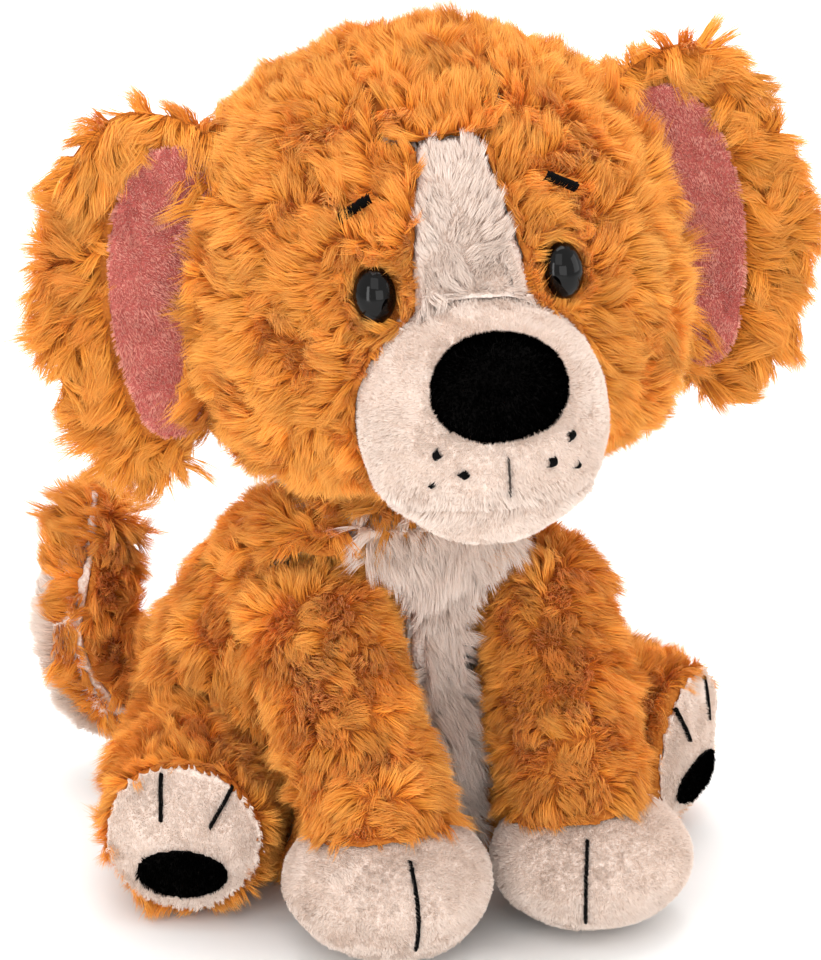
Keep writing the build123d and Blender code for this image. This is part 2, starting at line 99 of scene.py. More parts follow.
# ---------------------------------------------------------------- how uneven the pile is
WAVES = 9  # sine waves in a smooth random field
HAIR_PARTS = 2  # straight parts of one hair
TUFT_SIZES, LOCK_SIZES, HAIR_SIZES = (0.8, 1.15), (0.85, 1.1), (0.82, 1.08)  # shares of length
SLOW_SWING = 0.16  # share by which the length changes slowly over the cloth
LEAN_SWING = 0.16  # radians, from tuft to tuft
LOCK_SCATTER = 0.4  # how far locks scatter, as a share of what tufts do
UNEVEN_HAIRS = 0.085  # share of the length by which a hair leaves its lock
STRAY_HAIRS, STRAY_REACH = 0.05, 0.10  # how many stray, and by what share of the length
TUFT_TONE, LOCK_TONE, HAIR_TONE = 0.6, 0.5, 0.03  # how brightness differs from one to the next
BRUSHED_AWAY, SHORTENED = 1.6, 0.5  # what happens to the pile beside a bare place
HAIR_TAPER, HAIR_TWIST = 0.7, 0.4


# ---------------------------------------------------------------- colour and material helpers
def paint(hex_colour):
    """A linear colour from its sRGB hex value."""
    shares = [int(hex_colour[i : i + 2], 16) / 255 for i in (1, 3, 5)]
    return (*[s / 12.92 if s <= 0.04045 else ((s + 0.055) / 1.055) ** 2.4 for s in shares], 1.0)


def node(tree, kind, settings=None, links=None, **attributes):
    """Adds one node with its socket settings, its links and its own attributes."""
    made = tree.nodes.new(kind)
    for name, value in attributes.items():
        setattr(made, name, value)
    for socket, value in (settings or {}).items():
        made.inputs[socket].default_value = value
    for socket, source in (links or {}).items():
        tree.links.new(source, made.inputs[socket])
    return made


def new_material(name):
    material = bpy.data.materials.new(name)
    material.use_nodes = True
    material.node_tree.nodes.clear()
    return material, material.node_tree


def pile_material(name, root, middle, tip, patch, patch_share, roughness, sheen, gloss=0.2):
    """Knitted polyester pile: each hair is painted deeper at its root and paler at its tip, a
    painted shade for the depths of the pile; locks differ a little from each other, and broad
    patches of the cloth are a shade deeper."""
    material, tree = new_material(name)
    along = node(tree, "ShaderNodeAttribute", attribute_name="along")
    tone = node(tree, "ShaderNodeAttribute", attribute_name="tone")
    # painted shade: along each hair the ramp runs from the deep root colour, through the middle
    # colour, to the pale tip colour
    ramp = node(tree, "ShaderNodeValToRGB", links={"Fac": along.outputs["Fac"]})
    stops = ramp.color_ramp.elements
    stops[0].position, stops[0].color = 0.0, paint(root)
    stops[1].position, stops[1].color = 1.0, paint(tip)
    stops.new(0.45).color = paint(middle)
    place = node(tree, "ShaderNodeTexCoord")
    cloud = node(
        tree, "ShaderNodeTexNoise", {"Scale": 38.0, "Detail": 2.0},
        {"Vector": place.outputs["Object"]},
    )
    spread = node(
        tree, "ShaderNodeMapRange",
        {"From Min": 0.35, "From Max": 0.65, "To Min": 0.0, "To Max": patch_share},
        {"Value": cloud.outputs["Fac"]},
    )
    patched = node(
        tree, "ShaderNodeMix", {7: paint(patch)},
        {0: spread.outputs["Result"], 6: ramp.outputs["Color"]}, data_type="RGBA",
    )
    shade = node(
        tree, "ShaderNodeHueSaturation", {"Hue": 0.5, "Saturation": 1.0},
        {"Value": tone.outputs["Fac"], "Color": patched.outputs[2]},
    )
    cover = node(
        tree, "ShaderNodeBsdfPrincipled",
        {"Roughness": roughness, "Sheen Weight": sheen, "Sheen Roughness": 0.45,
         "Specular IOR Level": gloss},
        {"Base Color": shade.outputs["Color"]},
    )
    node(tree, "ShaderNodeOutputMaterial", links={"Surface": cover.outputs["BSDF"]})
    return material


def cloth_material(name, colour, deep, thread_mm, roughness):
    """Knitted backing or fibre: a flat colour broken up by loops of the thread's own size."""
    material, tree = new_material(name)
    place = node(tree, "ShaderNodeTexCoord")
    loops = node(
        tree, "ShaderNodeTexVoronoi", {"Scale": 1000.0 / thread_mm},
        {"Vector": place.outputs["Object"]},
    )
    ramp = node(tree, "ShaderNodeValToRGB", links={"Fac": loops.outputs["Distance"]})
    ramp.color_ramp.elements[0].color = paint(colour)
    ramp.color_ramp.elements[1].color = paint(deep)
    bump = node(
        tree, "ShaderNodeBump", {"Strength": 0.6, "Distance": thread_mm * MM},
        {"Height": loops.outputs["Distance"]},
    )
    cover = node(
        tree, "ShaderNodeBsdfPrincipled", {"Roughness": roughness, "Specular IOR Level": 0.08},
        {"Base Color": ramp.outputs["Color"], "Normal": bump.outputs["Normal"]},
    )
    node(tree, "ShaderNodeOutputMaterial", links={"Surface": cover.outputs["BSDF"]})
    return material


# long ginger faux fur: warm, with painted shade that makes it deeper and more saturated towards
# the roots, pale at the tips
GINGER_PILE = pile_material(
    "ginger_faux_fur", "#E58F2F", "#EE9E3B", "#F6B35B", "#E89636", 0.3, 0.7, 0.1
)
# white plush, with painted shade that makes it a little warmer and deeper towards the roots
WHITE_PILE = pile_material(
    "white_plush", "#EBD8CB", "#F0DFD3", "#F3E4D9", "#EEDCD0", 0.2, 0.8, 0.05
)
# the ears' velour: dusty pink, brushed to a sheen, with painted shade deeper towards the roots
PINK_PILE = pile_material(
    "pink_velour", "#DB8A7C", "#EBA392", "#F4B8A6", "#E09484", 0.4, 0.6, 0.3
)
# the nose and pads: black short plush that shines grey where it is brushed
BLACK_PILE = pile_material(
    "black_plush", "#010101", "#020202", "#030202", "#020202", 0.3, 0.95, 0.0, 0.0
)
# the knitted backings that the piles stand in, each near the colour of its pile
GINGER_BACKING = cloth_material("ginger_knit_backing", "#C97C33", "#B0662A", 1.2, 0.9)
WHITE_BACKING = cloth_material("white_knit_backing", "#F0E1D7", "#E6D3C6", 1.2, 0.9)
PINK_BACKING = cloth_material("pink_knit_backing", "#C46F66", "#A9564F", 1.2, 0.9)
BLACK_BACKING = cloth_material("black_knit_backing", "#080605", "#030202", 1.2, 0.9)
# what lies inside: loose white fibre, and an unbleached cotton bag of pellets
FIBREFILL = cloth_material("polyester_fibrefill", "#F1EEE8", "#D9D5CC", 2.5, 1.0)
PELLET_CLOTH = cloth_material("pellet_bag_cotton", "#E9E4D8", "#CFC8B8", 0.8, 0.9)
# the embroidery: dull black thread, so that the stitches read as drawn lines
BLACK_THREAD = cloth_material("black_embroidery_thread", "#050404", "#010101", 0.5, 0.7)


def plastic(name, colour, roughness):
    """Moulded plastic: even colour, with the faint unevenness of a moulded face in its gloss."""
    material, tree = new_material(name)
    place = node(tree, "ShaderNodeTexCoord")
    cloud = node(
        tree, "ShaderNodeTexNoise", {"Scale": 260.0}, {"Vector": place.outputs["Object"]}
    )
    gloss = node(
        tree, "ShaderNodeMapRange", {"To Min": roughness * 0.8, "To Max": roughness * 1.3},
        {"Value": cloud.outputs["Fac"]},
    )
    cover = node(
        tree, "ShaderNodeBsdfPrincipled",
        {"Base Color": paint(colour), "Specular IOR Level": 0.22},
        {"Roughness": gloss.outputs["Result"]},
    )
    node(tree, "ShaderNodeOutputMaterial", links={"Surface": cover.outputs["BSDF"]})
    return material


# polished black acrylic: the safety eyes shine like wet glass
EYE_PLASTIC = plastic("polished_black_acrylic", "#040303", 0.05)
# natural polyethylene, moulded with a dull skin
WASHER_PLASTIC = plastic("natural_polyethylene", "#E8E6E0", 0.45)

BACKINGS = {
    "ginger_plush": GINGER_BACKING, "white_plush": WHITE_BACKING,
    "pink_velour": PINK_BACKING, "black_plush": BLACK_BACKING,
}
PILES = {
    "ginger_plush": GINGER_PILE, "white_plush": WHITE_PILE,
    "pink_velour": PINK_PILE, "black_plush": BLACK_PILE,
}


# ---------------------------------------------------------------- geometry helpers
def unit(vectors):
    return vectors / np.maximum(np.linalg.norm(vectors, axis=-1, keepdims=True), 1e-9)


def along_surface(vectors, normals):
    """The part of each vector that lies along the surface, as a unit vector."""
    return unit(vectors - (vectors * normals).sum(1, keepdims=True) * normals)


def middle(name):
    low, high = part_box(name)
    return np.array((low + high) / 2) * 1000


def read_mesh(name):
    """A node's points in millimetres, with split corners joined, and its triangles."""
    points, corners = mesh_arrays(nodes[name].data)
    _, first, joined = np.unique(
        np.round(points, 3), axis=0, return_index=True, return_inverse=True
    )
    triangles = joined.reshape(-1)[corners]
    flat = (
        (triangles[:, 0] == triangles[:, 1])
        | (triangles[:, 1] == triangles[:, 2])
        | (triangles[:, 0] == triangles[:, 2])
    )
    return points[first], triangles[~flat]


def face_vectors(points, triangles):
    """Each triangle's normal, as long as twice its area."""
    a, b, c = (points[triangles[:, i]] for i in range(3))
    return np.cross(b - a, c - a)


def point_normals(points, triangles):
    normals = np.zeros_like(points)
    faces = face_vectors(points, triangles)
    for corner in range(3):
        np.add.at(normals, triangles[:, corner], faces)
    return unit(normals)


def softened(vectors, triangles, rounds=3):
    """Vectors at a mesh's points, each evened out with those of the points around it."""
    starts = triangles.ravel()
    ends = np.roll(triangles, 1, axis=1).ravel()
    around = np.maximum(np.bincount(starts, minlength=len(vectors)), 1)[:, None]
    for _ in range(rounds):
        sums = np.stack(
            [np.bincount(starts, vectors[ends, i], minlength=len(vectors)) for i in range(3)],
            axis=1,
        )
        vectors = (vectors + sums / around) / 2
    return vectors


def wave_field(seed, size):
    """A smooth random vector field whose swirls are about this many millimetres across."""
    random = np.random.default_rng(seed)
    waves = unit(random.normal(size=(3, WAVES, 3)))
    waves *= (2 * pi / size) * random.uniform(0.5, 1.3, (3, WAVES, 1))
    starts = random.uniform(0, 2 * pi, (3, WAVES))

    def field(points):
        return np.stack(
            [np.sin(points @ waves[i].T + starts[i]).sum(1) for i in range(3)], axis=1
        ) / sqrt(WAVES / 2)

    return field


def write_mesh(name, points, faces, smooth=True):
    """A new object from points in millimetres and a list of face arrays."""
    mesh = bpy.data.meshes.new(name)
    mesh.vertices.add(len(points))
    mesh.vertices.foreach_set("co", (points * MM).astype(np.float32).ravel())
    sizes = np.concatenate([np.full(len(f), f.shape[1]) for f in faces])
    mesh.loops.add(int(sizes.sum()))
    mesh.loops.foreach_set("vertex_index", np.concatenate([f.ravel() for f in faces]))
    mesh.polygons.add(len(sizes))
    mesh.polygons.foreach_set("loop_start", np.concatenate(([0], np.cumsum(sizes)[:-1])))
    mesh.polygons.foreach_set("use_smooth", np.full(len(sizes), smooth))
    mesh.update(calc_edges=True)
    made = bpy.data.objects.new(name, mesh)
    bpy.context.scene.collection.objects.link(made)
    return made


def tree_of(points):
    """A search tree over points."""
    tree = KDTree(len(points))
    for index, point in enumerate(points):
        tree.insert(point, index)
    tree.balance()
    return tree


def nearest(points, centres):
    """The index of the centre nearest to each point."""
    tree = tree_of(centres)
    return np.array([tree.find(point)[1] for point in points])


def mesh_arrays(mesh):
    """A mesh's points in millimetres and the corners of its triangles."""
    points = np.empty(len(mesh.vertices) * 3, np.float32)
    mesh.vertices.foreach_get("co", points)
    mesh.calc_loop_triangles()
    corners = np.empty(len(mesh.loop_triangles) * 3, np.int32)
    mesh.loop_triangles.foreach_get("vertices", corners)
    return points.reshape(-1, 3).astype(float) * 1000, corners.reshape(-1, 3)


LUMPS = wave_field(3, LUMP_SIZE)


# ---------------------------------------------------------------- covers
class Cover:
    """One panel's cloth, drawn in from the tips of its pile to where the pile stands, a little
    lumpy over its stuffing, pulled in along its seams, and clear of the floor."""

    def __init__(self, name, points, triangles, is_outer, drawn_in, lumps=0.0, tuck=0.0):
        self.name, self.triangles, self.outer = name, triangles, triangles[is_outer]
        self.normals = point_normals(points, self.outer)
        used = np.zeros(len(points), bool)
        used[self.outer.ravel()] = True
        hidden = np.zeros(len(points), bool)
        hidden[triangles[~is_outer].ravel()] = True
        depth = np.full(len(points), float(drawn_in))
        depth += lumps * LUMPS(points)[:, 0]
        self.rim = points[used & hidden]
        if tuck and len(self.rim):
            tree = tree_of(self.rim)
            away = np.array([tree.find(p)[2] if u else SEAM_REACH for p, u in zip(points, used)])
            depth += tuck * np.clip(1 - away / SEAM_REACH, 0, 1) ** 2
        moves = (used * depth)[:, None] * self.normals
        self.points = points - softened(moves, triangles)
        self.points[:, 2] = np.maximum(self.points[:, 2], FLOOR_GAP)

    def cloth(self, fill):
        made = write_mesh(f"{self.name}_cloth", self.points, [self.triangles])
        made.data.materials.append(BACKINGS[slot_of[self.name]])
        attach(made, body_of[self.name])
        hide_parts(self.name)


def stuffed(name, stuffing, drawn_in, voxel=1.8, lumps=0.9, tuck=0.5):
    """The cover of a panel that lies on a stuffing."""
    points, triangles = remeshed(name, voxel)
    tree = BVHTree.FromPolygons(*[part.tolist() for part in read_mesh(stuffing)])
    centres = points[triangles].mean(1)
    gaps = centres - np.array([tree.find_nearest(Vector(c))[0] for c in centres])
    facing = (unit(face_vectors(points, triangles)) * gaps).sum(1)
    return Cover(name, points, triangles, facing > LEAST_WALL, drawn_in, lumps, tuck)


def remeshed(name, voxel):
    """A node's shape as an even net of small faces, so that it can be bent."""
    copy = nodes[name].copy()
    copy.data = nodes[name].data.copy()
    bpy.context.scene.collection.objects.link(copy)
    shrunk = copy.modifiers.new("even_net", "REMESH")
    shrunk.mode, shrunk.voxel_size = "VOXEL", voxel * MM
    evaluated = copy.evaluated_get(bpy.context.evaluated_depsgraph_get())
    arrays = mesh_arrays(evaluated.to_mesh())
    evaluated.to_mesh_clear()
    bpy.data.objects.remove(copy)
    return arrays


def scattered(cover, per_mm2, random):
    """Random places on a cover's outer face, with the normals there."""
    corners = cover.outer
    areas = np.linalg.norm(face_vectors(cover.points, corners), axis=1) / 2
    count = int(areas.sum() * per_mm2)
    picked = np.searchsorted(np.cumsum(areas) / areas.sum(), random.random(count))
    picked = corners[np.minimum(picked, len(corners) - 1)]
    u, v = random.random(count), random.random(count)
    flip = u + v > 1
    u[flip], v[flip] = 1 - u[flip], 1 - v[flip]
    weights = np.stack((1 - u - v, u, v), axis=1)[:, :, None]
    return (cover.points[picked] * weights).sum(1), unit((cover.normals[picked] * weights).sum(1))


def grow(cover, comb, seed, per_mm2, length, width, lean, tuft, lock, swirl, swirl_size, gather,
         wave, tone=0.10, scatter=0.45, bare=(), keep=None, reach=None, suffix="pile", like=None):
    """Grows a cover's pile, in millimetres. Hairs gather in locks, and locks in tufts.

    comb gives the way that the pile lies at each point; swirl and scatter turn it, slowly over
    swirl_size and from tuft to tuft. lean is how far a hair leans from upright at its root and at
    its tip, in degrees. gather is by what share tufts and locks close up towards their tips, wave
    how far a lock curls, and tone by what share locks differ in brightness. bare lists (centre,
    radius, spread) of places that the pile leaves free and is brushed away from. keep chooses
    roots, reach changes the length by place, and like names a node whose pile this is."""
    random = np.random.default_rng(seed)
    roots, normals = scattered(cover, per_mm2, random)
    stays = np.ones(len(roots), bool) if keep is None else keep(roots, normals)
    for centre, radius, spread in bare:
        stays = stays & (np.linalg.norm(roots - centre, axis=1) > radius)
    roots, normals = roots[stays], normals[stays]
    count = len(roots)

    # locks and tufts start on some of the hairs
    area = count / per_mm2
    lock_count, tuft_count = max(2, int(area / lock**2)), max(2, int(area / tuft**2))
    locks = random.choice(count, lock_count, replace=False)
    tufts = random.choice(count, tuft_count, replace=False)
    lock_root, tuft_root = roots[locks], roots[tufts]
    in_lock, in_tuft = nearest(roots, lock_root), nearest(lock_root, tuft_root)

    # the way each lock is combed
    flow = wave_field(seed + 1, swirl_size)
    way = along_surface(
        comb(lock_root)
        + swirl * flow(lock_root)
        + scatter * random.normal(size=(tuft_count, 3))[in_tuft]
        + LOCK_SCATTER * scatter * random.normal(size=(lock_count, 3)),
        normals[locks],
    )
    size = length * (1 + SLOW_SWING * flow(lock_root * 1.7)[:, 0])
    size *= random.uniform(*TUFT_SIZES, tuft_count)[in_tuft]
    size *= random.uniform(*LOCK_SIZES, lock_count)
    if reach is not None:
        size *= reach(lock_root)
    for centre, radius, spread in bare:
        away = lock_root - centre
        gap = np.linalg.norm(away, axis=1)
        near = np.clip((spread - gap) / (spread - radius), 0, 1)[:, None]
        brushed = unit(away) * near * BRUSHED_AWAY
        way = along_surface(way * (1 - near) + brushed, normals[locks])
        size *= 1 - SHORTENED * near[:, 0]
    leans = [
        radians(a) + LEAN_SWING * random.normal(size=tuft_count)[in_tuft] for a in lean
    ]
    sideways = np.cross(normals[locks], way)
    curl = wave * random.uniform(-1, 1, lock_count)
    turn = random.uniform(0, 2 * pi, lock_count)

    hair_size = random.uniform(*HAIR_SIZES, count)
    steps = np.linspace(0, 1, HAIR_PARTS + 1)
    lines = np.empty((HAIR_PARTS + 1, count, 3))
    lock_line = lock_root.copy()
    gather_to = tuft_root[in_tuft] - lock_root
    gather_to -= (gather_to * normals[locks]).sum(1, keepdims=True) * normals[locks]
    for step, share in enumerate(steps):
        if step:
            lying = leans[0] + (leans[1] - leans[0]) * (share - 0.5 / HAIR_PARTS)
            lock_line = lock_line + (size / HAIR_PARTS)[:, None] * (
                np.cos(lying)[:, None] * normals[locks] + np.sin(lying)[:, None] * way
            )
        bent = (
            lock_line
            + gather_to * gather[0] * share**1.4
            + sideways * (curl * np.sin(turn + share * 4.5) * share * size / 12)[:, None]
        )
        own = roots - lock_root[in_lock]
        path = bent[in_lock] - lock_root[in_lock]
        lines[step] = (
            lock_root[in_lock]
            + path * (1 if step == 0 else hair_size[:, None])
            + own * (1 - gather[1] * share**1.2)
        )
    lines[1:] += (
        steps[1:, None, None] * UNEVEN_HAIRS * length * random.normal(size=(count, 3))
    )
    stray = random.random(count) < STRAY_HAIRS
    lines[-1][stray] += random.normal(size=(stray.sum(), 3)) * length * STRAY_REACH
    lines[..., 2] = np.maximum(lines[..., 2], FLOOR_GAP)

    # one piece holds the hairs of one part of the cover
    order = np.argsort(np.round(roots[:, 2] / 12) * 1e3 + roots[:, 0])
    parts = ceil(count * 3 / MOST_FACES)
    tones = 1 + tone * (
        TUFT_TONE * random.normal(size=tuft_count)[in_tuft]
        + LOCK_TONE * random.normal(size=lock_count)
    )[in_lock] + HAIR_TONE * random.normal(size=count)
    for part, chosen in enumerate(np.array_split(order, parts)):
        name = f"{cover.name}_{suffix}_{part + 1}" if parts > 1 else f"{cover.name}_{suffix}"
        write_hairs(
            name, lines[:, chosen], normals[chosen], width, tones[chosen],
            random.normal(size=(len(chosen), 3)), cover.name, slot_of[like or cover.name],
        )


def longer_at_rim(cover, more, within):
    """A reach that lets the pile close over the seams around a cover."""
    def reach(points):
        gap = np.linalg.norm(points - cover.rim[nearest(points, cover.rim)], axis=1)
        return 1 + more * np.clip(1 - gap / within, 0, 1)

    return reach


def write_hairs(name, lines, normals, width, tones, tilt, node_name, slot):
    """Tapered flat hairs of five points, each with its own place in the OFBake UV map."""
    count = lines.shape[1]
    steps, sides = np.array((0, 0, 1, 1, 2)), np.array((-1, 1, -1, 1, 0))
    facing = unit(normals + HAIR_TWIST * tilt)
    rows = []
    for step, side in zip(steps, sides):
        heading = unit(lines[min(step + 1, HAIR_PARTS)] - lines[max(step - 1, 0)])
        taper = 1 - HAIR_TAPER * (step / HAIR_PARTS) ** 2
        across = unit(np.cross(heading, facing)) * width / 2 * taper
        rows.append(lines[step] + side * across)
    points = np.stack(rows, axis=1).reshape(-1, 3)
    points[:, 2] = np.maximum(points[:, 2], FLOOR_GAP)
    first = (np.arange(count) * 5)[:, None]
    made = write_mesh(
        name, points, [np.concatenate([first + t for t in ((0, 1, 2), (1, 3, 2), (2, 3, 4))])]
    )
    mesh = made.data
    along = np.tile(steps / HAIR_PARTS, count)
    for attribute, values in (("along", along), ("tone", np.repeat(tones, 5))):
        mesh.attributes.new(attribute, "FLOAT", "POINT").data.foreach_set(
            "value", values.astype(np.float32)
        )
    columns = ceil(sqrt(count * 2.0))
    lines_down = ceil(count / columns)
    hair = np.repeat(np.arange(count), 5)
    place = np.stack(
        (
            (hair % columns + 0.5 + 0.3 * np.tile(sides, count)) / columns,
            (hair // columns + 0.1 + 0.8 * along) / lines_down,
        ),
        axis=1,
    )
    corner = np.empty(len(mesh.loops), np.int32)
    mesh.loops.foreach_get("vertex_index", corner)
    uv = mesh.uv_layers.new(name="OFBake")
    uv.data.foreach_set("uv", place[corner].astype(np.float32).ravel())
    mesh.materials.append(PILES[slot])
    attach(made, body_of[node_name])


# ---------------------------------------------------------------- what the pile is combed by
muzzle_middle, head_middle = middle("muzzle_stuffing"), middle("head_stuffing")
nose_middle, chest_middle = middle("nose_stuffing"), middle("chest_panel")
blaze_middle = middle("forehead_blaze")
blaze_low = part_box("forehead_blaze")[0][2] * 1000
eyes = {side: middle(f"{side}_eye") for side in SIDES}
brows = {side: middle(f"{side}_brow") for side in SIDES}


def comb_head(points):
    """Away from the muzzle, and downwards."""
    return unit(points - muzzle_middle) + 0.5 * DOWN


def comb_blaze(points):
    """Up the forehead and out over its seams, and down over the top of the muzzle."""
    spread = unit(points - blaze_middle) * np.array((0.8, 0.3, 0.3))
    low = np.clip((blaze_low + 11 - points[:, 2]) / 5, 0, 1)[:, None]
    up = -0.8 * DOWN + 0.4 * unit(points - muzzle_middle)
    return up * (1 - low) + 1.6 * DOWN * low + spread


def comb_muzzle(points):
    """Away from the nose, and a little downwards."""
    return unit(points - nose_middle) + 0.3 * DOWN


def comb_chest(points):
    """Down, and a little towards the middle."""
    inwards = (chest_middle - points) * np.array((0.012, 0.0, 0.0))
    return DOWN + inwards


def comb_down(points):
    """Downwards, and forwards where the cloth lies level."""
    return np.tile(DOWN + np.array((0.0, -0.45, 0.0)), (len(points), 1))


def comb_tail(points):
    """Towards the tip, and over the pale underside."""
    rise = np.clip((points[:, 2] - 30) / 40, 0.2, 1)[:, None]
    start = np.array((-0.5, 0.3, 0.0))
    return start * (1 - rise) + rise * np.array((-0.75, 0.1, 1.0))


def comb_along(way, sag):
    """Along a way, and downwards by this share."""
    return lambda points: np.tile(unit(np.array(way)) + sag * DOWN, (len(points), 1))


# the long ginger pile, the short pile of paws and muzzle, and the combed white of blaze and chest
LONG = dict(per_mm2=4.15, length=8.6, width=0.30, lean=(7, 55), tuft=7.5, lock=2.7,
            swirl=0.8, swirl_size=24.0, gather=(0.38, 0.20), wave=1.6)
SHORT = dict(per_mm2=9.0, length=1.5, width=0.25, lean=(6, 38), tuft=6.0, lock=1.5,
             swirl=0.4, swirl_size=40.0, gather=(0.05, 0.1), wave=0.05, tone=0.01)
SMOOTH = dict(per_mm2=7.0, length=5.5, width=0.24, lean=(12, 60), tuft=8.0, lock=2.4,
              swirl=0.2, swirl_size=30.0, gather=(0.15, 0.12), wave=0.5, tone=0.012, scatter=0.2)

# ---------------------------------------------------------------- head
face_bare = []
for side in SIDES:
    face_bare += [(eyes[side], 7.8, 13.0), (brows[side], 5.0, 8.5)]

ear_joints = {
    side: next(j for j in frame["joints"] if j["name"] == f"{side}_ear_flap")
    for side in SIDES
}
ear_tops = []
for side in SIDES:
    low, high = (np.array(corner) * 1000 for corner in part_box(f"{side}_ear_back"))
    inner = high[0] - 8 if side == "right" else low[0] + 8
    ear_tops.append(np.array((inner, (low[1] + high[1]) / 2, high[2] - 8)))


def by_ears(points):
    """The pile is long where it closes up to the tops of the ears."""
    gap = np.min([np.linalg.norm(points - top, axis=1) for top in ear_tops], axis=0)
    return 1 + 0.7 * np.clip(1 - gap / 26, 0, 1)


for index, name in enumerate(("head_right_side", "head_left_side", "head_gusset")):
    cover = stuffed(name, "head_stuffing", LONG_PILE)
    cover.cloth(0.85)
    grow(cover, comb_head, seed=10 + index, bare=face_bare, reach=by_ears, **LONG)

cover = stuffed("forehead_blaze", "head_stuffing", BLAZE_PILE, tuck=2.0)
cover.cloth(0.85)
grow(cover, comb_blaze, seed=20, reach=longer_at_rim(cover, 0.5, 6.0), **SMOOTH)

# ---------------------------------------------------------------- muzzle and nose
for index, name in enumerate(("muzzle", "chin")):
    cover = stuffed(name, "muzzle_stuffing", SHORT_PILE, 1.3, 0.25, 0.7)
    cover.cloth(0.9)
    grow(cover, comb_muzzle, seed=30 + index, reach=longer_at_rim(cover, 1.3, 7.0), **SHORT)
cover = stuffed("nose", "nose_stuffing", SHORT_PILE, 1.1, 0.25, 0.7)
cover.cloth(0.95)
grow(cover, comb_down, seed=35, **SHORT)

# ---------------------------------------------------------------- torso and neck
for index, name in enumerate(("torso_right_side", "torso_left_side", "seat_panel")):
    cover = stuffed(name, "torso_stuffing", LONG_PILE)
    cover.cloth(0.7)
    grow(cover, comb_down, seed=40 + index, **LONG)
cover = stuffed("chest_panel", "torso_stuffing", CHEST_PILE)
cover.cloth(0.7)
grow(cover, comb_chest, seed=45, **{**SMOOTH, "length": 9.5, "lean": (6, 50)})
cover = stuffed("neck_cover", "neck_stuffing", SHORT_PILE, 1.1, 0.25, 0.7)
cover.cloth(0.7)
# white under the chin, and ginger on the nape
grow(cover, comb_down, seed=46, keep=lambda roots, normals: normals[:, 1] < -0.8, **LONG)
grow(cover, comb_down, seed=47, keep=lambda roots, normals: normals[:, 1] >= -0.8,
     suffix="nape", like="torso_left_side", **{**LONG, "length": 13.0, "per_mm2": 6.0})


def faces_out(way):
    """Keeps the hairs of the round face of a sole, and not those inside its seam."""
    return lambda roots, normals: normals @ way > 0.15


def inner_leg(points):
    """The pile is short where a leg lies against the chest, and long over the paw."""
    inner = np.clip(1.6 - np.abs(points[:, 0] - chest_middle[0]) / 22, 0, 1)
    high = np.clip((points[:, 2] - CHEST_LOW) / 20, 0, 1)
    return 1 - 0.35 * inner * high + 0.7 * np.clip((PAW_TOP - points[:, 2]) / 12, 0, 1)


# ---------------------------------------------------------------- legs
for index, side in enumerate(SIDES):
    stuffing = f"{side}_leg_stuffing"
    cover = stuffed(f"{side}_leg_sleeve", stuffing, LONG_PILE)
    cover.cloth(0.75)
    grow(cover, comb_down, seed=50 + index, reach=inner_leg, **LONG)
    cover = stuffed(f"{side}_paw", stuffing, SHORT_PILE, 1.3, 0.25, 0.7)
    cover.cloth(0.85)
    grow(cover, comb_down, seed=52 + index, **SHORT)
    stuffing = f"{side}_hind_leg_stuffing"
    start, end = middle(stuffing), middle(f"{side}_sole")
    cover = stuffed(f"{side}_thigh", stuffing, LONG_PILE)
    cover.cloth(0.8)
    grow(cover, comb_along(end - start, 0.35), seed=54 + index, **LONG)
    for patch, drawn_in in (("sole", SHORT_PILE), ("sole_pad", 0.6)):
        cover = stuffed(f"{side}_{patch}", stuffing, drawn_in, 1.0, 0.25, 0.4)
        cover.cloth(0.8)
        grow(cover, comb_down, seed=56 + index, keep=faces_out(unit(end - start)), **SHORT)

# ---------------------------------------------------------------- tail
tail_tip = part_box("tail_stuffing")[1][2] * 1000


def tail_tuft(points):
    """The pile is long at the tip."""
    return 1 + 0.8 * np.clip((points[:, 2] - tail_tip + 22) / 15, 0, 1)


cover = stuffed("tail_top", "tail_stuffing", LONG_PILE)
cover.cloth(0.75)
grow(cover, comb_tail, seed=60, reach=tail_tuft, **{**LONG, "length": 10.0})
top_points = cover.points[np.unique(cover.outer)]


def swept_over(roots, normals):
    """Where the ginger pile sweeps over the pale underside: beside the seams and at the tip."""
    gap = np.linalg.norm(roots - top_points[nearest(roots, top_points)], axis=1)
    return (gap < TAIL_SWEPT) | (roots[:, 2] > tail_tip - TAIL_TIP_SWEPT)


cover = stuffed("tail_underside", "tail_stuffing", 6.3, 1.4, tuck=0.8)
cover.cloth(0.75)
grow(cover, comb_tail, seed=62, reach=tail_tuft, keep=swept_over, suffix="swept_over",
     like="tail_top", **{**LONG, "length": 7.5})
grow(cover, comb_along((0.0, 0.0, 1.0), 0.0), seed=61,
     keep=lambda roots, normals: ~swept_over(roots, normals),
     **{**SHORT, "length": 6.5, "lean": (10, 50), "per_mm2": 7.0})


# ---------------------------------------------------------------- ears
def bent_ear(points, joint, outwards, front):
    """Points of a flat ear as it hangs: its rim rolls forward and its inner edge closes up to the
    head."""
    root = np.array(joint["pos_m"]) * 1000
    away = np.clip((points - root) @ outwards / EAR_WIDTH, 0, 1.2)
    down = -(points - root)[:, 2] / EAR_FALL
    roll = EAR_ROLL * away**2 * np.sin(np.clip(down + 0.55, 0, 1.1) * 2.6) - EAR_SWING * away
    closed = EAR_CLOSED * np.clip(1 - ((points - root) @ outwards + 4) / EAR_CLOSED_OVER, 0, 1)
    return points + roll[:, None] * front - closed[:, None] * outwards


